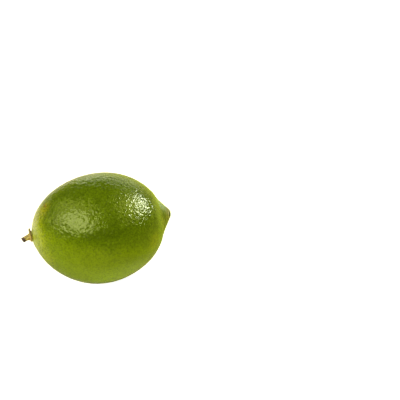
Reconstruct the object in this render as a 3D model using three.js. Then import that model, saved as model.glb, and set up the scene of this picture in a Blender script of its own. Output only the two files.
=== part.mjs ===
// A lime as picked: the fruit with its pointed nipple, the five-lobed calyx at its stem end and the short stub of
// its stalk. Millimetres, +Z up. The fruit lies on its side with its core along X, the stem end towards -X and the
// nipple towards +X. The origin is the middle of the small flat spot that the fruit rests on.
import * as THREE from "three";

// The fruit
const FRUIT_RADIUS = 25.85; // at the widest section
const STEM_REACH = 32.3; // from the widest section to the stem end
const TIP_REACH = 28.7; // from the widest section to the nipple's foot
const NIPPLE_HEIGHT = 3.8;
const NIPPLE_SPREAD = 4.1; // radius at which the nipple has dropped to about a third of its height
const NIPPLE_TAPER = 1.39; // 1 for straight flanks, 2 for a bell
const NIPPLE_BLUNTNESS = 0.95; // radius of its rounded point
const REST_SPOT = { x: -0.2, y: 0, depth: 0.6 }; // middle of the flattened underside, from the widest section
const UPRIGHT_SQUASH = 0.985; // height of a section over its width
const BELLY = { y: -1.35, z: -1.65, spread: 0.85 }; // how the middle hangs off the line between the two ends
const STEM_NECK = { height: 0.9, spread: 4.5 }; // the stem end stands out a little
const STEM_DROOP = { depth: 1.6, spread: 6 }; // and hangs below that line

// Relief on the fruit
const SEGMENTS = 10; // pulp segments that show as faint swellings under the rind
const SEGMENT_SWELL = 0.11;
const SHOULDER_FURROW = { radius: 8.5, width: 4.5, depth: 0.22 }; // folds that run out from the calyx
const TIP_FURROW = { radius: 8.8, width: 2.3, depth: 0.4, deepest: THREE.MathUtils.degToRad(95) };
const UNEVENNESS = 0.16; // of the whole outline, in waves that wind along the fruit
const TWO_WAVES = { start: 0.6, wind: 1.1 };
const THREE_WAVES = { start: 2, wind: -1.3 };
const SWELLING_REACH = THREE.MathUtils.degToRad(26);
const SWELLINGS = [
  // broad humps and dips: degrees from the stem end, degrees round the core, height
  [50, -131, -0.1],
  [77, -131, 0.59],
  [110, -131, -0.28],
  [150, -131, 0.36],
  [45, 49, -0.17],
  [142, 49, -0.32],
];
const SEAT = { radius: 3.4, depth: 0.55 }; // the shallow seat under the calyx
const SCAR = { radius: 0.8, depth: 0.35 }; // the pit that the flower's style left on the nipple

// The calyx and the stub
const GAP = 0.25; // between two pieces that lie against each other
const CALYX_RADIUS = 3.1; // to a lobe's point
const CALYX_WAIST = 0.66; // radius between two lobes, as a share of it
const CALYX_LOBES = 5;
const CALYX_TURN = THREE.MathUtils.degToRad(51); // where the first lobe points, from +Y towards +Z
const CALYX_THICKNESS = { middle: 0.95, edge: 0.42 };
const LOBE_LIFT = [1.35, 0.3, 0.15, 0.45, 0.6]; // how far each lobe's point curls off the fruit
const STUB_LENGTH = 3.5;
const STUB_RADIUS = { root: 1.75, waist: 1.2, end: 1.22 };
const STUB_BOW = new THREE.Vector3(-0.87, -0.3, -0.4).normalize(); // the way its cut end leans
const STUB_CUT_SLANT = 0.12; // rise of the cut across the stub, per millimetre of radius

// Steps round and along each piece
const FRUIT_STEPS = { round: 72, along: 46 };
const CALYX_STEPS = { round: 50, across: 6 };
const STUB_STEPS = { round: 16, along: 9 };

// The line through both ends, and where the widest section stands on it.
const core = {
  x: -REST_SPOT.x,
  y: -REST_SPOT.y - BELLY.y,
  z: FRUIT_RADIUS * UPRIGHT_SQUASH - REST_SPOT.depth - BELLY.z,
};

// A bell of height 1 around a radius.
const bell = (radius, centre, width) => Math.exp(-(((radius - centre) / width) ** 2));

// The outline of one side of the fruit, at an angle from the stem end (0) to the tip (PI): its place along the core
// and its radius.
function outline(polar) {
  const radius = FRUIT_RADIUS * Math.sin(polar);
  if (polar < Math.PI / 2) {
    const seat = SEAT.depth * bell(radius, 0, SEAT.radius);
    const neck = STEM_NECK.height * bell(radius, 0, STEM_NECK.spread);
    return { along: -STEM_REACH * Math.cos(polar) - neck + seat, radius };
  }
  const spread = Math.hypot(radius, NIPPLE_BLUNTNESS) - NIPPLE_BLUNTNESS;
  const nipple = NIPPLE_HEIGHT * Math.exp(-((spread / NIPPLE_SPREAD) ** NIPPLE_TAPER));
  const scar = SCAR.depth * bell(radius, 0, SCAR.radius);
  return { along: -TIP_REACH * Math.cos(polar) + nipple - scar, radius };
}

// The direction at an angle from the stem end and an angle round the core.
const direction = (polar, turn) => new THREE.Vector3().setFromSphericalCoords(1, polar, turn);
const swellings = SWELLINGS.map(([polar, turn, height]) => ({
  middle: direction(THREE.MathUtils.degToRad(polar), THREE.MathUtils.degToRad(turn)),
  height,
}));

// How far the rind stands off that outline, at an angle round the core.
function relief(polar, turn) {
  const { radius } = outline(polar);
  const open = Math.sin(polar) ** 2; // fades out at both ends
  const towardsStem = polar < Math.PI / 2;
  const folds = Math.cos(SEGMENTS * turn + 0.7 * Math.sin(2 * turn));
  const swell = SEGMENT_SWELL * open * folds;
  const shoulder = SHOULDER_FURROW.depth * bell(radius, SHOULDER_FURROW.radius, SHOULDER_FURROW.width);
  const ring = TIP_FURROW.depth * bell(radius, TIP_FURROW.radius, TIP_FURROW.width);
  const around = 0.62 + 0.3 * Math.cos(turn - TIP_FURROW.deepest) + 0.08 * folds;
  const furrow = towardsStem ? shoulder * folds * open : -ring * around;
  const two = Math.sin(2 * turn + TWO_WAVES.start + TWO_WAVES.wind * polar);
  const three = Math.sin(3 * turn + THREE_WAVES.start + THREE_WAVES.wind * polar);
  const here = direction(polar, turn);
  const humps = swellings.reduce((sum, { middle, height }) => {
    const apart = 2 * (1 - here.dot(middle)); // the square of the distance between them, on a ball of radius 1
    return sum + height * Math.exp(-apart / SWELLING_REACH ** 2);
  }, 0);
  return swell + furrow + humps + (UNEVENNESS * open * (two + three)) / 2;
}

// A point on the rind, or at a height above it.
function rindPoint(polar, turn, height = 0) {
  const step = 1e-3;
  const here = outline(polar);
  const before = outline(polar - step);
  const after = outline(polar + step);
  const slope = new THREE.Vector2(after.along - before.along, after.radius - before.radius).normalize();
  const out = relief(polar, turn) + height;
  const radius = here.radius + slope.x * out;
  const belly = Math.sin(polar) ** BELLY.spread;
  const droop = polar < Math.PI / 2 ? STEM_DROOP.depth * bell(here.radius, 0, STEM_DROOP.spread) : 0;
  return new THREE.Vector3(
    core.x + here.along - slope.y * out,
    core.y + BELLY.y * belly + radius * Math.cos(turn),
    core.z + BELLY.z * belly - droop + radius * UPRIGHT_SQUASH * Math.sin(turn),
  );
}

// A closed skin round an axis, with each vertex put where the rule sends its turn and its share of the outline.
function turnedSkin(roundSteps, outlineSteps, rule) {
  const profile = Array.from({ length: outlineSteps + 1 }, (_, i) => {
    const angle = (Math.PI * i) / outlineSteps;
    return new THREE.Vector2(Math.sin(angle), -Math.cos(angle));
  });
  const skin = new THREE.LatheGeometry(profile, roundSteps);
  const { position, uv } = skin.attributes;
  for (let i = 0; i < position.count; i += 1) {
    const share = uv.getY(i);
    const turn = 2 * Math.PI * (uv.getX(i) % 1);
    const point = rule(turn, share);
    position.setXYZ(i, point.x, point.y, point.z);
  }
  skin.computeVertexNormals();
  return skin;
}

// The fruit is one closed rind, with its rings closer together towards both ends.
function fruitGeometry() {
  const crowding = 0.62;
  return turnedSkin(FRUIT_STEPS.round, FRUIT_STEPS.along, (turn, share) => {
    const polar = Math.PI * share - (crowding * Math.sin(2 * Math.PI * share)) / 2;
    const point = rindPoint(polar, turn);
    point.z = Math.max(point.z, 0);
    return point;
  });
}

// The calyx lies on the stem end: a thin star whose underside follows the rind and whose points curl off it.
function calyxGeometry() {
  const rings = 2 * CALYX_STEPS.across;
  return turnedSkin(CALYX_STEPS.round, rings, (angle, share) => {
    const lobe = (angle / (2 * Math.PI)) * CALYX_LOBES;
    const fromPoint = Math.abs(lobe - Math.round(lobe)) * 2; // 0 at a lobe's point, 1 between two lobes
    const last = Math.floor(lobe);
    const nextShare = THREE.MathUtils.smoothstep(lobe - last, 0, 1);
    const lift = THREE.MathUtils.lerp(LOBE_LIFT[last % CALYX_LOBES], LOBE_LIFT[(last + 1) % CALYX_LOBES], nextShare);
    const reach = CALYX_RADIUS * (1 - (1 - CALYX_WAIST) * Math.sin((fromPoint * Math.PI) / 2) ** 0.8);
    const top = share < 0.5;
    const out = top ? 2 * share : 2 - 2 * share; // 0 in the middle, 1 at the rim
    const radius = Math.max(out, 0) * reach;
    const curl = lift * (radius / CALYX_RADIUS) ** 3;
    const edge = Math.max(0, out) ** 2.2;
    const body = THREE.MathUtils.lerp(CALYX_THICKNESS.middle, CALYX_THICKNESS.edge, edge);
    const round = Math.sqrt(Math.max(0, 1 - out ** 6)); // both faces meet at the rim
    const height = GAP + curl + (top ? body * (0.5 + 0.5 * round) : body * 0.5 * (1 - round));
    return rindPoint(Math.asin(radius / FRUIT_RADIUS), angle + CALYX_TURN, height);
  });
}

// The stub stands on the calyx, bows over and ends in a slanting cut.
function stubGeometry() {
  const foot = rindPoint(0, 0, 2 * GAP + CALYX_THICKNESS.middle);
  const bend = foot.clone().add(new THREE.Vector3(-0.38 * STUB_LENGTH, 0, 0));
  const tip = bend.clone().addScaledVector(STUB_BOW, 0.62 * STUB_LENGTH);
  const line = new THREE.QuadraticBezierCurve3(foot, bend, tip);
  const { root, waist, end } = STUB_RADIUS;
  return turnedSkin(STUB_STEPS.round, STUB_STEPS.along, (turn, share) => {
    const last = STUB_STEPS.along;
    const ring = Math.round(share * last);
    const side = THREE.MathUtils.clamp((ring - 1) / (last - 2), 0, 1); // 0 at the foot, 1 at the cut
    const middle = line.getPoint(side);
    const along = line.getTangent(side);
    const across = new THREE.Vector3(0, 0, 1).cross(along).normalize();
    const up = along.clone().cross(across);
    const swollen = root * (1 - side) ** 3 + end * side ** 2 + waist * (1 - (1 - side) ** 3 - side ** 2);
    const ridges = 1 + 0.05 * Math.cos(5 * turn + 1);
    const radius = ring === 0 || ring === last ? 0 : swollen * ridges;
    const slant = side === 1 ? STUB_CUT_SLANT * radius * Math.sin(turn) : 0;
    return middle
      .addScaledVector(across, radius * Math.cos(turn))
      .addScaledVector(up, radius * Math.sin(turn))
      .addScaledVector(along, slant);
  });
}

function piece(name, geometry, look) {
  const mesh = new THREE.Mesh(geometry, new THREE.MeshStandardMaterial({ metalness: 0, ...look }));
  mesh.name = name;
  return mesh;
}

const lime = new THREE.Group();
lime.name = "lime";
lime.add(
  piece("fruit", fruitGeometry(), { color: "#6f8a14", roughness: 0.32 }),
  piece("calyx", calyxGeometry(), { color: "#8a7a34", roughness: 0.7 }),
  piece("stem_stub", stubGeometry(), { color: "#b39a3c", roughness: 0.75 }),
);

export default lime;
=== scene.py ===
"""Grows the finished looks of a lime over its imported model.

The rind is a fine skin wrapped on the solid, pitted by its oil glands and mottled green and yellow. The calyx
is a dry star at the stem end, and the stalk a short stub with a dark cut. The lime lies on a white table in
soft light.
"""
import math

import bpy
import numpy as np
from bpy.props import FloatProperty, FloatVectorProperty, IntProperty, PointerProperty
from mathutils import Euler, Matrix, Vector


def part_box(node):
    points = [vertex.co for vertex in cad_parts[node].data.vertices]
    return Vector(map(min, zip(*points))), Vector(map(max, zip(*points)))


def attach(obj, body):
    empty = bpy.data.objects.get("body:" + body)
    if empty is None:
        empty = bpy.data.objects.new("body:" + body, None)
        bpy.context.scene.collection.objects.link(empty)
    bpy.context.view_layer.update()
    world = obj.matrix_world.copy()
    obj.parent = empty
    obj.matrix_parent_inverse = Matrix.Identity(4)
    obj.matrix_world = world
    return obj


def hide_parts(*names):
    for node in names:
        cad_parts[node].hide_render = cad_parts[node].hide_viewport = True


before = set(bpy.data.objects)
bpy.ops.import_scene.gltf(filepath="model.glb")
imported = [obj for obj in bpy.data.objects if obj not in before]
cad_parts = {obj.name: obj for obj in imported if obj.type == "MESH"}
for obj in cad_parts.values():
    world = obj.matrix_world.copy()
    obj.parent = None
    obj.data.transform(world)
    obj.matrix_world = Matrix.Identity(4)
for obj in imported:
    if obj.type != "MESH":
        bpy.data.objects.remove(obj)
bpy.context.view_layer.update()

bl_info = {
    "name": "Lime",
    "version": (1, 0, 0),
    "blender": (4, 5, 0),
    "location": "View3D > Sidebar > Lime",
    "description": "Grows the rind, calyx and stalk of a lime and sets its stage",
    "category": "Add Mesh",
}

MM = 0.001
RAISED_POINT = Vector((-34.0, 3.3, 27.3)) * MM  # the calyx's point that curls furthest off the rind
LIME_MIDDLE = Vector((0, 0, 25)) * MM  # what the lights face


def colour_property(name, description, default):
    return FloatVectorProperty(
        name=name, description=description, default=default, size=3, min=0.0, max=1.0, subtype="COLOR"
    )


def length_property(name, description, default):
    return FloatProperty(name=name, description=description, default=default, unit="LENGTH", precision=5)


class LimeRindSettings(bpy.types.PropertyGroup):
    gland_spacing: length_property("Dimple spacing", "Distance between neighbouring dimples", 1.5 * MM)
    gland_depth: length_property("Dimple depth", "How deep the rind dips there", 0.12 * MM)
    ripple_spacing: length_property("Ripple spacing", "Distance between the rind's soft ripples", 3.2 * MM)
    ripple_depth: length_property("Ripple depth", "Height of those ripples", 0.10 * MM)
    wave_spacing: length_property("Wave spacing", "Distance between the skin's soft waves", 1.4 * MM)
    wave_depth: length_property("Wave depth", "Height of those waves", 0.22 * MM)
    dent_spacing: length_property("Dent spacing", "Distance between the skin's fine dents", 0.85 * MM)
    dent_depth: length_property("Dent depth", "How deep those dents are", 0.18 * MM)
    pit_spacing: length_property("Pit spacing", "Distance between the finest pits of the skin", 1.05 * MM)
    pit_depth: length_property("Pit depth", "How deep those pits are", 0.05 * MM)
    # Laid as painted shade in the dark stripe across the front and in the furrow round the nipple's foot, and
    # partly so in the fine dark dots.
    darkest_green: colour_property("Darkest green", "Specks, a streak and the groove", (0.048, 0.074, 0.0006))
    deep_green: colour_property("Deep green", "The greenest rind", (0.076, 0.115, 0.0008))
    mid_green: colour_property("Mid green", "The rind's usual green", (0.100, 0.149, 0.0010))
    # Partly the skin's own paler tone, partly painted light from the table below.
    pale_green: colour_property("Pale green", "The side that lay in shade", (0.149, 0.207, 0.0008))
    # Also laid as a painted highlight round the nipple's foot and as paler dots on the glands and dimples,
    # which are partly painted glints.
    bright_green: colour_property("Bright green", "Where that side is palest", (0.185, 0.272, 0.0020))
    turning_green: colour_property("Turning green", "Rind near the stem", (0.320, 0.345, 0.0010))
    yellow: colour_property("Yellow", "Patches that have started to turn", (0.312, 0.280, 0.0005))
    rust: colour_property("Rust", "Small scratches near the stem", (0.260, 0.110, 0.0030))
    olive: colour_property("Olive", "The nipple's worn skin", (0.230, 0.220, 0.0500))
    brown: colour_property("Brown", "The same on its lower side", (0.180, 0.140, 0.0060))
    # A painted reflection: the table's pale sheen mirrored on the nipple's upper side.
    painted_sheen: colour_property("Painted sheen", "The waxy bloom on the nipple's upper side", (0.275, 0.385, 0.2400))
    cream: colour_property("Cream", "The rim round the scar", (0.330, 0.300, 0.1100))
    scar: colour_property("Scar", "The dry scar at the nipple's tip", (0.016, 0.009, 0.0040))


class LimeCalyxSettings(bpy.types.PropertyGroup):
    wrinkle_depth: length_property("Wrinkle depth", "How deep the dry skin wrinkles", 0.12 * MM)
    husk: colour_property("Husk", "The star's dry skin", (0.600, 0.430, 0.080))
    dark_husk: colour_property("Dark husk", "Its folds and undersides", (0.360, 0.230, 0.040))
    # Painted shade where the star meets the rind.
    gap: colour_property("Gap", "Where it meets the rind", (0.060, 0.036, 0.008))
    tip: colour_property("Tip", "The raised point of the star", (0.400, 0.350, 0.180))


class LimeStalkSettings(bpy.types.PropertyGroup):
    sides: IntProperty(name="Sides", description="Corners round the stub", default=20, min=8, max=64)
    root_radius: length_property("Root radius", "Where the stub widens into the calyx", 1.75 * MM)
    waist_radius: length_property("Waist radius", "At its thinnest", 1.2 * MM)
    cut_radius: length_property("Cut radius", "At the cut end", 1.22 * MM)
    ridge_depth: length_property("Ridge depth", "Height of the bark's ridges", 0.16 * MM)
    bark: colour_property("Bark", "The stub's yellow-tan bark", (0.620, 0.470, 0.070))
    dark_bark: colour_property("Dark bark", "Its grooves", (0.230, 0.150, 0.024))
    cut: colour_property("Cut", "The dried cut end", (0.060, 0.026, 0.012))


class LimeStageSettings(bpy.types.PropertyGroup):
    view_turn: FloatProperty(
        name="View turn",
        description="Camera's turn round the lime",
        default=math.radians(-13.28),
        subtype="ANGLE",
    )
    view_height: FloatProperty(
        name="View height",
        description="Camera's angle above the table",
        default=math.radians(40.0),
        subtype="ANGLE",
    )
    view_distance: length_property("View distance", "From the camera to the lime", 463 * MM)
    lens: FloatProperty(name="Lens", description="Focal length in millimetres", default=90.0)
    table: colour_property("Table", "What the table throws back on the lime", (0.72, 0.67, 0.26))
    # Painted yellow-green bounce light on the table's sides.
    table_sides: colour_property("Table's sides", "The same to its left and right", (0.70, 0.74, 0.08))


def select_only(piece):
    bpy.ops.object.select_all(action="DESELECT")
    piece.select_set(True)
    bpy.context.view_layer.objects.active = piece


def apply_modifier(piece, kind, **settings):
    select_only(piece)
    modifier = piece.modifiers.new(kind.title(), kind)
    for name, value in settings.items():
        setattr(modifier, name, value)
    bpy.ops.object.modifier_apply(modifier=modifier.name)


def joined_copy(node, name):
    """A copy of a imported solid, with its loose triangles joined up as quads."""
    piece = bpy.data.objects.new(name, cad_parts[node].data.copy())
    bpy.context.scene.collection.objects.link(piece)
    piece.data.materials.clear()
    select_only(piece)
    if piece.data.has_custom_normals:
        bpy.ops.mesh.customdata_custom_splitnormals_clear()
    bpy.ops.object.mode_set(mode="EDIT")
    bpy.ops.mesh.select_all(action="SELECT")
    bpy.ops.mesh.remove_doubles(threshold=0.002 * MM)
    bpy.ops.mesh.tris_convert_to_quads(face_threshold=math.radians(40), shape_threshold=math.radians(60))
    bpy.ops.object.mode_set(mode="OBJECT")
    return piece


def finish_piece(piece, node, material):
    select_only(piece)
    bpy.ops.object.shade_smooth()
    piece.data.materials.clear()
    piece.data.materials.append(material)
    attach(piece, "root")
    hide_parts(node)


def vertices_of(piece):
    places = np.zeros(len(piece.data.vertices) * 3)
    piece.data.vertices.foreach_get("co", places)
    return places.reshape(-1, 3)


def normals_of(piece):
    normals = np.zeros(len(piece.data.vertices) * 3)
    piece.data.vertices.foreach_get("normal", normals)
    return normals.reshape(-1, 3)


def displace(piece, name, kind, spacing, depth, mid_level, **texture_settings):
    """Pushes the skin in and out by one of Blender's own textures, laid through space at a real spacing."""
    texture = bpy.data.textures.new(name, kind)
    texture.noise_scale = spacing
    for setting, value in texture_settings.items():
        setattr(texture, setting, value)
    apply_modifier(
        piece, "DISPLACE", texture=texture, texture_coords="LOCAL", strength=depth, mid_level=mid_level
    )


# Materials are put together from these few kinds of node.


def add_node(tree, kind, inputs=None, **settings):
    node = tree.nodes.new(kind)
    for name, value in settings.items():
        setattr(node, name, value)
    for socket, value in (inputs or {}).items():
        if isinstance(value, bpy.types.NodeSocket):
            tree.links.new(value, node.inputs[socket])
        else:
            node.inputs[socket].default_value = value
    return node


def new_material(name):
    material = bpy.data.materials.new(name)
    material.use_nodes = True
    tree = material.node_tree
    shader = next(n for n in tree.nodes if n.type == "BSDF_PRINCIPLED")
    place = add_node(tree, "ShaderNodeTexCoord").outputs["Object"]
    return material, tree, shader, place


def rgba(colour):
    return (*colour, 1.0)


def mix(tree, factor, first, second):
    node = add_node(tree, "ShaderNodeMix", data_type="RGBA")
    for socket, value in ((0, factor), (6, first), (7, second)):
        if isinstance(value, bpy.types.NodeSocket):
            tree.links.new(value, node.inputs[socket])
        else:
            node.inputs[socket].default_value = value
    return node.outputs[2]


def calculate(tree, operation, first, second=0.0):
    return add_node(tree, "ShaderNodeMath", {0: first, 1: second}, operation=operation).outputs[0]


def fade(tree, value, start, end, low=0.0, high=1.0):
    """low up to start, high from end on, and a smooth change between them."""
    inputs = {"Value": value, "From Min": start, "From Max": end, "To Min": low, "To Max": high}
    return add_node(tree, "ShaderNodeMapRange", inputs, interpolation_type="SMOOTHSTEP").outputs["Result"]


def band(tree, value, start, full, ebb, end):
    """1 from full to ebb, and 0 up to start and from end on."""
    return calculate(tree, "MULTIPLY", fade(tree, value, start, full), fade(tree, value, ebb, end, 1.0, 0.0))


def lay(tree, colour, mask, share, over):
    """Lays one colour over another where the mask is 1, by that share at most."""
    return mix(tree, calculate(tree, "MULTIPLY", mask, share), colour, over)


def add_bump(tree, shader, height, strength, distance):
    bump = add_node(tree, "ShaderNodeBump", {"Height": height, "Strength": strength, "Distance": distance})
    tree.links.new(bump.outputs["Normal"], shader.inputs["Normal"])


def noise(tree, place, spacing, detail=2.0, roughness=0.5, stretch=(1.0, 1.0, 1.0)):
    """Noise from 0 to 1 whose blotches are about the spacing apart."""
    scaled = add_node(tree, "ShaderNodeMapping", {"Vector": place, "Scale": stretch}).outputs[0]
    inputs = {"Vector": scaled, "Scale": 1.0 / spacing, "Detail": detail, "Roughness": roughness}
    return add_node(tree, "ShaderNodeTexNoise", inputs).outputs["Fac"]


def patch(tree, place, middle, reach, soft, ragged=0.0, spacing=0.004, squash=(1.0, 1.0, 1.0)):
    """A patch round a point: 1 inside, fading to 0 over its soft edge, which noise can make ragged."""
    away = add_node(tree, "ShaderNodeVectorMath", {0: place, 1: middle}, operation="SUBTRACT").outputs[0]
    shaped = add_node(tree, "ShaderNodeVectorMath", {0: away, 1: squash}, operation="MULTIPLY").outputs[0]
    distance = add_node(tree, "ShaderNodeVectorMath", {0: shaped}, operation="LENGTH").outputs["Value"]
    if ragged:
        wander = calculate(tree, "SUBTRACT", noise(tree, place, spacing, 3.0), 0.5)
        distance = calculate(tree, "ADD", distance, calculate(tree, "MULTIPLY", wander, 2.0 * ragged))
    return fade(tree, distance, reach - soft, reach + soft, 1.0, 0.0)


def mottled_green(tree, place, height, wander, settings):
    """Greens that lie in blotches, paler ones on the lower side, partly as the side that was turned from the
    sun and partly as painted light from the table below, and a dark stripe of painted shade across the front.
    """
    blotches = fade(tree, noise(tree, place, 9 * MM, 3.0, 0.55), 0.36, 0.66)
    colour = mix(tree, blotches, rgba(settings.deep_green), rgba(settings.mid_green))
    flecks = fade(tree, noise(tree, place, 1.6 * MM, 2.0, 0.6), 0.35, 0.75, 0.0, 0.45)
    colour = mix(tree, flecks, colour, rgba(settings.mid_green))

    # Paler below: partly the side that was turned from the sun, partly painted light thrown up from the
    # table.
    pale = fade(tree, calculate(tree, "ADD", height, wander), 29.8 * MM, 35.8 * MM, 1.0, 0.0)
    colour = mix(tree, pale, colour, rgba(settings.pale_green))
    # The palest patch, low on the front, is partly the skin's own tone and partly painted light from the
    # table below.
    palest = patch(tree, place, Vector((3, -24, 14)) * MM, 8 * MM, 6 * MM, 3 * MM, 6 * MM, (0.6, 1.0, 1.0))
    colour = mix(tree, palest, colour, rgba(settings.bright_green))

    # A dark stripe of painted shade across the front, where the rind gets little light from above or from the
    # table below.
    shade_streak_middle = Vector((-1, -20.7, 39.0)) * MM
    shade_streak = patch(tree, place, shade_streak_middle, 2.6 * MM, 2 * MM, 1.5 * MM, 5 * MM, (0.3, 1.0, 1.4))
    return lay(tree, colour, shade_streak, 0.7, rgba(settings.darkest_green))


def turn_yellow(tree, place, colour, along, wander, settings):
    """The yellow-green stem end with its flecks of rust, and yellow patches there and near the nipple."""
    turned = fade(tree, calculate(tree, "ADD", along, wander), -32 * MM, -22.5 * MM, 0.9, 0.0)
    colour = mix(tree, turned, colour, rgba(settings.turning_green))
    for middle, reach, share in (
        (Vector((-25.8, 0.8, 40.3)), 3.6, 0.7),
        (Vector((-30.5, 3.0, 35.0)), 5.0, 0.7),
        (Vector((22.0, -17.0, 27.0)), 4.0, 0.3),
        (Vector((27.5, -8.0, 28.5)), 3.0, 0.4),
    ):
        spot = patch(tree, place, middle * MM, reach * MM, 2.6 * MM, 2.0 * MM, 2.5 * MM)
        colour = lay(tree, colour, spot, share, rgba(settings.yellow))
    for middle in (Vector((-24.6, 1.5, 41.4)), Vector((-25.2, 2.6, 41.0))):
        fleck = patch(tree, place, middle * MM, 0.55 * MM, 0.35 * MM, 0.5 * MM, 1.2 * MM, (1.0, 0.45, 1.0))
        colour = lay(tree, colour, fleck, 0.7, rgba(settings.rust))
    return colour


def mark_nipple(tree, place, colour, axes, worn, settings):
    """A painted highlight on the shoulder round the nipple's foot and painted shade in the furrow there, its
    worn skin, a painted reflection as a sheen on its upper side, and the scar at its tip.
    """
    # A painted highlight on the shoulder round the nipple's foot.
    ring_highlight = band(tree, axes["X"], 23.5 * MM, 25.0 * MM, 25.8 * MM, 27.3 * MM)
    colour = lay(tree, colour, ring_highlight, 0.5, rgba(settings.bright_green))
    # Painted shade in the furrow at the nipple's foot.
    groove_shade = band(tree, axes["X"], 27.0 * MM, 28.2 * MM, 28.6 * MM, 30.0 * MM)
    colour = lay(tree, colour, groove_shade, 0.6, rgba(settings.darkest_green))

    lower = fade(tree, axes["Z"], 28 * MM, 31 * MM, 1.0, 0.0)
    colour = lay(tree, colour, worn, 0.8, mix(tree, lower, rgba(settings.olive), rgba(settings.brown)))
    # A painted reflection: the table's pale sheen mirrored on the nipple's upper side.
    sheen_middle = Vector((27.6, 1.0, 33.2)) * MM
    painted_sheen = patch(tree, place, sheen_middle, 2.8 * MM, 1.4 * MM, 0.8 * MM, 1.5 * MM, (0.65, 0.8, 0.9))
    colour = lay(tree, colour, painted_sheen, 0.75, rgba(settings.painted_sheen))
    tip = Vector((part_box("fruit")[1].x, -0.8 * MM, 27.1 * MM))
    for reach, soft, finish in ((2.4, 0.4, settings.cream), (1.6, 0.3, settings.scar)):
        spot = patch(tree, place, tip, reach * MM, soft * MM, soft * MM, 1 * MM)
        colour = mix(tree, spot, colour, rgba(finish))
    return colour


def speckle(tree, place, colour, along, height, gland, settings):
    """Oil glands and dimples a little paler than the rind round them, partly their own tone and partly
    painted glints, and fine dark dots between them, partly the skin's own flecks and partly painted shade of
    its fine relief.
    """
    # Paler dots on the oil glands: partly their own tone, partly painted glints.
    colour = lay(tree, colour, gland, 0.45, rgba(settings.bright_green))
    dimples = add_node(tree, "ShaderNodeAttribute", attribute_name="gland_relief").outputs["Fac"]
    # Painted glints in the deepest dimples.
    colour = mix(tree, fade(tree, dimples, -0.9, 0.0, 0.25, 0.0), colour, rgba(settings.bright_green))
    # Fine dark dots: partly the skin's own flecks, partly painted shade of its fine relief.
    specks_and_relief_shade = fade(tree, noise(tree, place, 0.75 * MM, 1.5), 0.36, 0.56, 0.6, 0.0)
    specks_and_relief_shade = calculate(tree, "MULTIPLY", specks_and_relief_shade, fade(tree, height, 28 * MM, 35 * MM, 0.75, 1.0))
    specks_and_relief_shade = calculate(tree, "MULTIPLY", specks_and_relief_shade, fade(tree, along, -28 * MM, -14 * MM, 1.3, 1.0))
    return mix(tree, specks_and_relief_shade, colour, rgba(settings.darkest_green))


def skin_relief(tree, place, axes, gland, settings):
    """The skin's soft waves, its dents, its gland pits and its grain, as a height."""
    # The dents are deepest on the upper shoulder next to the nipple and round the stem.
    along = axes["X"]
    near_stem = fade(tree, along, -24 * MM, -12 * MM, 1.35, 0.0)
    coarse = fade(tree, along, -8 * MM, 12 * MM, 0.6, 1.6)
    coarse = calculate(tree, "MULTIPLY", coarse, fade(tree, along, 15 * MM, 23 * MM, 1.0, 0.6))
    coarse = calculate(tree, "MULTIPLY", coarse, fade(tree, axes["Z"], 35 * MM, 41 * MM, 0.55, 1.0))
    coarse = calculate(tree, "MAXIMUM", coarse, near_stem)
    dents = calculate(tree, "MULTIPLY", noise(tree, place, settings.dent_spacing, 1.0), settings.dent_depth)
    dents = calculate(tree, "MULTIPLY", dents, coarse)
    waves = calculate(tree, "MULTIPLY", noise(tree, place, settings.wave_spacing, 0.5), settings.wave_depth)
    waves = calculate(tree, "MULTIPLY", waves, fade(tree, along, -4 * MM, 12 * MM, 1.0, 0.75))
    grain = calculate(tree, "MULTIPLY", noise(tree, place, 0.5 * MM, 2.0, 0.6), 0.008 * MM)
    relief = calculate(tree, "ADD", dents, waves)
    relief = calculate(tree, "SUBTRACT", relief, calculate(tree, "MULTIPLY", gland, settings.pit_depth))
    return calculate(tree, "ADD", relief, grain)


def rind_material(settings):
    material, tree, shader, place = new_material("rind")
    axes = add_node(tree, "ShaderNodeSeparateXYZ", {0: place}).outputs
    along = axes["X"]

    # Measured on a lean, so that what belongs to the lower half reaches higher up at the stem end.
    height = calculate(tree, "ADD", axes["Z"], calculate(tree, "MULTIPLY", along, 0.22))

    # Edges between the broad colours stray to either side, and the nipple's worn skin has a frayed edge.
    wander = calculate(tree, "SUBTRACT", noise(tree, place, 6 * MM, 3.0), 0.5)
    wander = calculate(tree, "MULTIPLY", wander, 9 * MM)
    frayed = calculate(tree, "MULTIPLY", noise(tree, place, 2 * MM), 2 * MM)
    worn = fade(tree, calculate(tree, "ADD", along, frayed), 29.6 * MM, 31.6 * MM)

    # Oil glands are small sharp pits that lie closer than the skin's own dimples.
    cells = add_node(
        tree,
        "ShaderNodeTexVoronoi",
        {"Vector": place, "Scale": 1.0 / settings.pit_spacing, "Randomness": 0.9},
        feature="F1",
    ).outputs["Distance"]
    gland = fade(tree, cells, 0.06, 0.36, 1.0, 0.0)

    colour = mottled_green(tree, place, height, wander, settings)
    colour = turn_yellow(tree, place, colour, along, wander, settings)
    colour = mark_nipple(tree, place, colour, axes, worn, settings)
    colour = speckle(tree, place, colour, along, height, gland, settings)
    tree.links.new(colour, shader.inputs["Base Color"])

    roughness = fade(tree, noise(tree, place, 2.2 * MM, 2.0), 0.3, 0.7, 0.12, 0.19)
    roughness = calculate(tree, "ADD", roughness, calculate(tree, "MULTIPLY", worn, 0.25))
    tree.links.new(roughness, shader.inputs["Roughness"])
    add_bump(tree, shader, skin_relief(tree, place, axes, gland, settings), 1.0, 1.0)
    shader.inputs["IOR"].default_value = 1.46
    shader.inputs["Specular Tint"].default_value = (0.95, 1.0, 0.28, 1.0)
    return material


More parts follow.
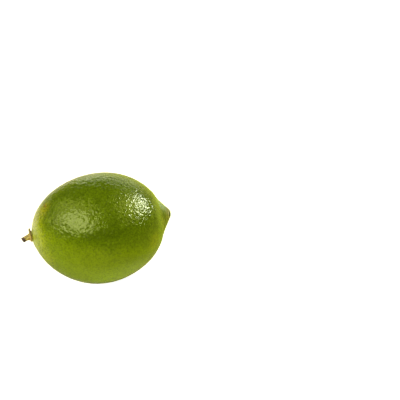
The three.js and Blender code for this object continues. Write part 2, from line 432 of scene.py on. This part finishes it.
def grow_rind(settings):
    """A fine skin of even quads, wrapped on the solid and pitted by its glands."""
    form = joined_copy("fruit", "form")
    apply_modifier(form, "SUBSURF", levels=2, render_levels=2)
    lowest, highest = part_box("fruit")

    bpy.ops.object.select_all(action="DESELECT")
    bpy.ops.mesh.primitive_cube_add(size=1.0, location=(lowest + highest) / 2)
    rind = bpy.context.object
    rind.name = "rind"
    apply_modifier(rind, "SUBSURF", levels=7, render_levels=7)
    apply_modifier(rind, "CAST", cast_type="SPHERE", factor=1.0, size=0.5, use_radius_as_size=False)
    rind.scale = (highest - lowest) * 1.08
    bpy.ops.object.transform_apply(location=True, rotation=True, scale=True)
    apply_modifier(
        rind,
        "SHRINKWRAP",
        target=form,
        wrap_method="PROJECT",
        use_negative_direction=True,
        use_positive_direction=False,
    )
    bpy.data.objects.remove(form)
    apply_modifier(rind, "SMOOTH", factor=0.5, iterations=2)

    smooth_normals = normals_of(rind)
    displace(rind, "ripples", "CLOUDS", settings.ripple_spacing, settings.ripple_depth, 0.5, noise_depth=1)
    rippled = vertices_of(rind)
    displace(
        rind,
        "glands",
        "VORONOI",
        settings.gland_spacing,
        settings.gland_depth,
        0.5,
        distance_metric="DISTANCE",
    )
    relief = ((vertices_of(rind) - rippled) * smooth_normals).sum(axis=1)
    apply_modifier(rind, "SMOOTH", factor=0.5, iterations=1)

    # The material reads how far each point stands above or below the middle of the dimples: 1, or -1.
    stored = rind.data.attributes.new("gland_relief", "FLOAT", "POINT")
    stored.data.foreach_set("value", (relief / (settings.gland_depth / 2)).astype(np.float32))
    finish_piece(rind, "fruit", rind_material(settings))


def calyx_material(settings):
    material, tree, shader, place = new_material("calyx")
    folds = fade(tree, noise(tree, place, 0.8 * MM, 3.0, 0.6), 0.35, 0.65)
    husk = mix(tree, folds, rgba(settings.dark_husk), rgba(settings.husk))
    along = add_node(tree, "ShaderNodeSeparateXYZ", {0: place}).outputs["X"]
    # Painted shade along the seam where the star meets the rind.
    gap_shade_band = fade(tree, along, -33.1 * MM, -32.8 * MM, 0.0, 0.6)
    colour = mix(tree, gap_shade_band, husk, rgba(settings.gap))
    raised = patch(tree, place, RAISED_POINT, 1.3 * MM, 0.5 * MM, 0.3 * MM, 0.8 * MM)
    colour = mix(tree, raised, colour, rgba(settings.tip))
    tree.links.new(colour, shader.inputs["Base Color"])
    shader.inputs["Roughness"].default_value = 0.75
    add_bump(tree, shader, noise(tree, place, 0.3 * MM, 3.0), 0.5, 0.05 * MM)
    return material


def grow_calyx(settings):
    """The star of dry skin round the stem end, sunk on the rind and wrinkled."""
    calyx = joined_copy("calyx", "calyx_star")
    apply_modifier(calyx, "SUBSURF", levels=2, render_levels=2)
    underside = calyx.vertex_groups.new(name="underside")
    underside.add([v.index for v in calyx.data.vertices if v.normal.x > 0.55], 1.0, "REPLACE")
    apply_modifier(
        calyx,
        "SHRINKWRAP",
        target=bpy.data.objects["rind"],
        vertex_group="underside",
        wrap_method="PROJECT",
        use_project_x=True,
        use_positive_direction=True,
        use_negative_direction=False,
        project_limit=0.9 * MM,
        offset=-0.1 * MM,
    )
    apply_modifier(calyx, "SMOOTH", factor=0.4, iterations=1)

    # The raised point is thickened, rounded and turned up and in over the rind.
    reach, thickening, lift, lean = 1.8 * MM, 0.60 * MM, 0.9 * MM, 0.8 * MM
    raised = calyx.vertex_groups.new(name="raised")
    for vertex in calyx.data.vertices:
        distance = (vertex.co - RAISED_POINT).length
        raised.add([vertex.index], max(0.0, 1.0 - distance / reach), "REPLACE")
    apply_modifier(calyx, "DISPLACE", vertex_group="raised", strength=thickening, mid_level=0.0)
    apply_modifier(calyx, "SMOOTH", vertex_group="raised", factor=0.5, iterations=5)
    apply_modifier(calyx, "DISPLACE", vertex_group="raised", direction="Z", strength=lift, mid_level=0.0)
    apply_modifier(calyx, "DISPLACE", vertex_group="raised", direction="X", strength=lean, mid_level=0.0)
    displace(calyx, "wrinkles", "CLOUDS", 0.7 * MM, settings.wrinkle_depth, 0.5, noise_depth=2)
    finish_piece(calyx, "calyx", calyx_material(settings))


def stalk_material(settings, cut_middle, cut_way):
    material, tree, shader, place = new_material("stalk")
    streaks = fade(tree, noise(tree, place, 0.5 * MM, 3.0, 0.6, (0.25, 1.0, 1.0)), 0.4, 0.62)
    bark = mix(tree, streaks, rgba(settings.dark_bark), rgba(settings.bark))
    away = add_node(tree, "ShaderNodeVectorMath", {0: place, 1: cut_middle}, operation="SUBTRACT").outputs[0]
    past = add_node(tree, "ShaderNodeVectorMath", {0: away, 1: cut_way}, operation="DOT_PRODUCT")
    ragged = calculate(tree, "MULTIPLY", noise(tree, place, 0.6 * MM), 0.7 * MM)
    dried = fade(tree, calculate(tree, "ADD", past.outputs["Value"], ragged), -1.5 * MM, -0.7 * MM)
    colour = mix(tree, dried, bark, rgba(settings.cut))
    tree.links.new(colour, shader.inputs["Base Color"])
    shader.inputs["Roughness"].default_value = 0.7
    add_bump(tree, shader, noise(tree, place, 0.25 * MM, 3.0), 0.5, 0.05 * MM)
    return material


def cut_stalk(settings):
    """The stub, drawn out of a round foot in short steps that bow over, and cut across at its end."""
    foot = Vector((-33.2, 1.35, 24.7)) * MM
    bend = Vector((-35.0, 1.35, 24.6)) * MM
    tip = Vector((-36.9, 0.7, 23.7)) * MM
    root, waist, cut = settings.root_radius, settings.waist_radius, settings.cut_radius
    rings = (
        # share of the way, radius
        (0.14, root * 0.96),
        (0.26, root * 0.80),
        (0.40, waist * 1.06),
        (0.58, waist),
        (0.78, waist * 1.03),
        (0.93, cut),
        (1.0, cut * 0.97),
    )
    bpy.ops.object.select_all(action="DESELECT")
    bpy.ops.mesh.primitive_circle_add(
        vertices=settings.sides,
        radius=root,
        fill_type="NGON",
        location=foot,
        rotation=(0, math.radians(-90), 0),
    )
    stalk = bpy.context.object
    stalk.name = "stalk"
    bpy.ops.object.transform_apply(location=True, rotation=True, scale=True)
    bpy.ops.object.mode_set(mode="EDIT")
    bpy.ops.mesh.select_all(action="SELECT")
    middle, way, last_radius = foot, (bend - foot).normalized(), root
    for share, radius in rings:
        start, end = foot.lerp(bend, share), bend.lerp(tip, share)
        move = start.lerp(end, share) - middle
        middle, last_way, way = middle + move, way, (end - start).normalized()
        bpy.ops.mesh.extrude_region_move(TRANSFORM_OT_translate={"value": move})
        growth = radius / last_radius
        last_radius = radius
        bpy.ops.transform.resize(value=(growth, growth, growth), center_override=middle)
        down = math.asin(last_way.z) - math.asin(way.z)
        front = math.asin(last_way.y) - math.asin(way.y)
        bpy.ops.transform.rotate(value=down, orient_axis="Y", center_override=middle)
        bpy.ops.transform.rotate(value=-front, orient_axis="Z", center_override=middle)
    for width, hollow in ((0.22 * MM, 0.02 * MM), (0.45 * MM, 0.16 * MM)):
        bpy.ops.mesh.inset(thickness=width, depth=-hollow)
    bpy.ops.object.mode_set(mode="OBJECT")
    apply_modifier(stalk, "SUBSURF", levels=3, render_levels=3)
    displace(stalk, "bark_ridges", "CLOUDS", 0.8 * MM, settings.ridge_depth, 0.5, noise_depth=2)
    finish_piece(stalk, "stem_stub", stalk_material(settings, middle, way))


def table_material(settings):
    """Plain white to the camera, with a warmer and uneven glow for the lime to mirror and be lit by."""
    material, tree, shader, place = new_material("table")
    shader.inputs["Roughness"].default_value = 0.9
    shader.inputs["Specular IOR Level"].default_value = 0.0
    rays = add_node(tree, "ShaderNodeLightPath").outputs
    axes = add_node(tree, "ShaderNodeSeparateXYZ", {0: place}).outputs
    # The table's sides are painted yellow-green, in colour and in glow, as green light thrown back from
    # beside the lime.
    right = fade(tree, axes["X"], 12 * MM, 45 * MM)
    far_left = fade(tree, axes["X"], -160 * MM, -100 * MM, 1.0, 0.0)
    side = calculate(tree, "MAXIMUM", right, far_left)
    thrown = mix(tree, side, rgba(settings.table), rgba(settings.table_sides))
    tree.links.new(thrown, shader.inputs["Base Color"])

    # In the lime's gloss the table is bright behind it and in two pools beside it.
    leftwards = calculate(tree, "MAXIMUM", calculate(tree, "MULTIPLY", axes["X"], -0.45), 0.0)
    bright = fade(tree, calculate(tree, "ADD", axes["Y"], leftwards), 30 * MM, 170 * MM, 0.0, 0.31)
    bright = calculate(tree, "MULTIPLY", bright, fade(tree, axes["X"], -400 * MM, -180 * MM, 0.05, 1.0))
    for middle in (Vector((-75, 62, 0)), Vector((150, 88, 0))):
        pool = patch(tree, place, middle * MM, 50 * MM, 30 * MM)
        bright = calculate(tree, "MAXIMUM", bright, calculate(tree, "MULTIPLY", pool, 0.85))

    # It lights the lime from below, less from close under it.
    away = add_node(tree, "ShaderNodeVectorMath", {0: place}, operation="LENGTH").outputs["Value"]
    below = fade(tree, away, 10 * MM, 45 * MM, 0.42, 0.88)
    glow = calculate(tree, "MAXIMUM", rays["Is Camera Ray"], bright)
    glow = calculate(tree, "MAXIMUM", glow, calculate(tree, "MULTIPLY", rays["Is Diffuse Ray"], below))
    # The yellower glow on the sides is painted bounce light too.
    warmth = mix(tree, side, (1.0, 1.0, 0.82, 1.0), (1.0, 1.0, 0.35, 1.0))
    tint = mix(tree, rays["Is Camera Ray"], warmth, (1.0, 1.0, 1.0, 1.0))
    tree.links.new(tint, shader.inputs["Emission Color"])
    tree.links.new(glow, shader.inputs["Emission Strength"])
    return material


def lay_table(settings):
    """The white table, which curves up into a backdrop behind the lime."""
    size = 3000 * MM
    middle = Vector((0, -300 * MM, -0.04 * MM))  # just below the lowest ripple of the rind
    curve_steps, step_length, backdrop_height = 6, 30 * MM, 300 * MM
    bpy.ops.object.select_all(action="DESELECT")
    bpy.ops.mesh.primitive_plane_add(size=size, location=middle)
    table = bpy.context.object
    table.name = "table"
    bpy.ops.object.transform_apply(location=True, rotation=True, scale=True)
    bpy.ops.object.mode_set(mode="EDIT")
    bpy.ops.mesh.select_all(action="DESELECT")
    bpy.ops.object.mode_set(mode="OBJECT")
    for edge in table.data.edges:
        edge.select = all(table.data.vertices[v].co.y > middle.y for v in edge.vertices)
    bpy.ops.object.mode_set(mode="EDIT")
    bpy.ops.mesh.select_mode(type="EDGE")
    for step in range(curve_steps):
        angle = math.radians(90 / curve_steps * (step + 0.5))
        move = Vector((0, math.cos(angle), math.sin(angle))) * step_length
        bpy.ops.mesh.extrude_region_move(TRANSFORM_OT_translate={"value": move})
    bpy.ops.mesh.extrude_region_move(TRANSFORM_OT_translate={"value": (0, 0, backdrop_height)})
    bpy.ops.object.mode_set(mode="OBJECT")
    select_only(table)
    bpy.ops.object.shade_smooth()
    table.data.materials.append(table_material(settings))


def hang_lights():
    """Soft lights, each 1 m from the lime. Some show in its gloss alone, and some light its colour alone."""
    # Widths and heights are in metres, and powers in watts.
    warm, plain, cool = (1.0, 1.0, 0.50), (1.0, 1.0, 1.0), (0.72, 0.74, 1.0)
    for name, shape, way, width, height, power, colour, in_gloss, in_colour in (
        ("soft_light", "ELLIPSE", Vector((-0.56, -0.32, 0.76)), 0.94, 0.56, 9.8, cool, True, True),
        ("soft_edge", "ELLIPSE", Vector((-0.52, -0.20, 0.83)), 1.35, 1.00, 5.8, warm, True, False),
        ("key_light", "ELLIPSE", Vector((0.885, 0.235, 0.395)), 0.36, 0.29, 15.6, cool, True, False),
        ("key_edge", "ELLIPSE", Vector((0.72, 0.04, 0.69)), 0.80, 0.60, 4.4, warm, True, False),
        ("left_edge", "ELLIPSE", Vector((-0.88, 0.12, 0.46)), 0.60, 0.50, 1.3, warm, True, False),
        ("window_edge", "RECTANGLE", Vector((-0.50, 0.44, 0.72)), 0.16, 0.70, 1.1, warm, True, False),
        ("back_panel", "RECTANGLE", Vector((0.28, 0.94, 0.185)), 0.85, 0.34, 1.7, plain, True, True),
        ("side_fill", "ELLIPSE", Vector((-0.92, -0.38, 0.10)), 0.60, 0.60, 3.9, plain, False, True),
        ("right_fill", "ELLIPSE", Vector((0.60, 0.10, 0.80)), 0.60, 0.60, 7.8, plain, False, True),
    ):
        light = bpy.data.lights.new(name, "AREA")
        light.shape = shape
        light.color = colour
        light.size = width
        light.size_y = height
        light.energy = power
        lamp = bpy.data.objects.new(name, light)
        bpy.context.scene.collection.objects.link(lamp)
        way.normalize()
        lamp.location = LIME_MIDDLE + way
        lamp.rotation_euler = way.to_track_quat("Z", "Y").to_euler()
        lamp.visible_glossy = in_gloss
        lamp.visible_diffuse = in_colour

    # The air past the table looks white and gives almost no light.
    world = bpy.data.worlds.new("studio")
    bpy.context.scene.world = world
    world.use_nodes = True
    tree = world.node_tree
    seen = add_node(tree, "ShaderNodeLightPath").outputs["Is Camera Ray"]
    air = mix(tree, seen, (0.04, 0.04, 0.04, 1.0), (1.0, 1.0, 1.0, 1.0))
    tree.links.new(air, tree.nodes["Background"].inputs["Color"])


def set_camera(settings):
    """The camera, at the photograph's angle and distance."""
    sensor = 36.0
    side = 400  # the photograph's width and height, in pixels
    lime_column, lime_row = 102.3, 227.25  # where the lime's middle lies in it
    view = bpy.data.cameras.new("view")
    view.lens = settings.lens
    view.sensor_width = sensor
    camera = bpy.data.objects.new("camera", view)
    bpy.context.scene.collection.objects.link(camera)
    camera.rotation_euler = Euler((math.pi / 2 - settings.view_height, 0, settings.view_turn))
    facing = camera.rotation_euler.to_matrix()
    pixel = sensor / settings.lens / side * settings.view_distance  # a pixel's width on the lime
    across, down = (side / 2 - lime_column) * pixel, (side / 2 - lime_row) * pixel
    camera.location = LIME_MIDDLE + facing @ Vector((across, -down, settings.view_distance))
    bpy.context.scene.camera = camera
    bpy.context.scene.view_settings.view_transform = "Standard"


class LIME_OT_grow_rind(bpy.types.Operator):
    """Wrap the pitted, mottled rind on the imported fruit"""

    bl_idname = "lime.grow_rind"
    bl_label = "Grow Rind"

    def execute(self, context):
        grow_rind(context.scene.lime_rind)
        return {"FINISHED"}


class LIME_OT_grow_calyx(bpy.types.Operator):
    """Grow the dry star round the stem end"""

    bl_idname = "lime.grow_calyx"
    bl_label = "Grow Calyx"

    def execute(self, context):
        grow_calyx(context.scene.lime_calyx)
        return {"FINISHED"}


class LIME_OT_cut_stalk(bpy.types.Operator):
    """Draw out the stub of stalk and cut its end"""

    bl_idname = "lime.cut_stalk"
    bl_label = "Cut Stalk"

    def execute(self, context):
        cut_stalk(context.scene.lime_stalk)
        return {"FINISHED"}


class LIME_OT_set_stage(bpy.types.Operator):
    """Set the white table, the lights and the camera"""

    bl_idname = "lime.set_stage"
    bl_label = "Set Stage"

    def execute(self, context):
        lay_table(context.scene.lime_stage)
        hang_lights()
        set_camera(context.scene.lime_stage)
        return {"FINISHED"}


class LIME_PT_panel(bpy.types.Panel):
    """The lime's pieces and their settings"""

    bl_idname = "LIME_PT_panel"
    bl_label = "Lime"
    bl_space_type = "VIEW_3D"
    bl_region_type = "UI"
    bl_category = "Lime"

    def draw(self, context):
        scene = context.scene
        for operator, settings in (
            ("lime.grow_rind", scene.lime_rind),
            ("lime.grow_calyx", scene.lime_calyx),
            ("lime.cut_stalk", scene.lime_stalk),
            ("lime.set_stage", scene.lime_stage),
        ):
            box = self.layout.box()
            box.operator(operator)
            for name in settings.__annotations__:
                box.prop(settings, name)


CLASSES = (
    LimeRindSettings,
    LimeCalyxSettings,
    LimeStalkSettings,
    LimeStageSettings,
    LIME_OT_grow_rind,
    LIME_OT_grow_calyx,
    LIME_OT_cut_stalk,
    LIME_OT_set_stage,
    LIME_PT_panel,
)


def register():
    for cls in CLASSES:
        bpy.utils.register_class(cls)
    bpy.types.Scene.lime_rind = PointerProperty(type=LimeRindSettings)
    bpy.types.Scene.lime_calyx = PointerProperty(type=LimeCalyxSettings)
    bpy.types.Scene.lime_stalk = PointerProperty(type=LimeStalkSettings)
    bpy.types.Scene.lime_stage = PointerProperty(type=LimeStageSettings)


def unregister():
    for name in ("lime_rind", "lime_calyx", "lime_stalk", "lime_stage"):
        delattr(bpy.types.Scene, name)
    for cls in reversed(CLASSES):
        bpy.utils.unregister_class(cls)


def main():
    register()
    bpy.ops.lime.grow_rind()
    bpy.ops.lime.grow_calyx()
    bpy.ops.lime.cut_stalk()
    bpy.ops.lime.set_stage()


if __name__ == "__main__":
    main()
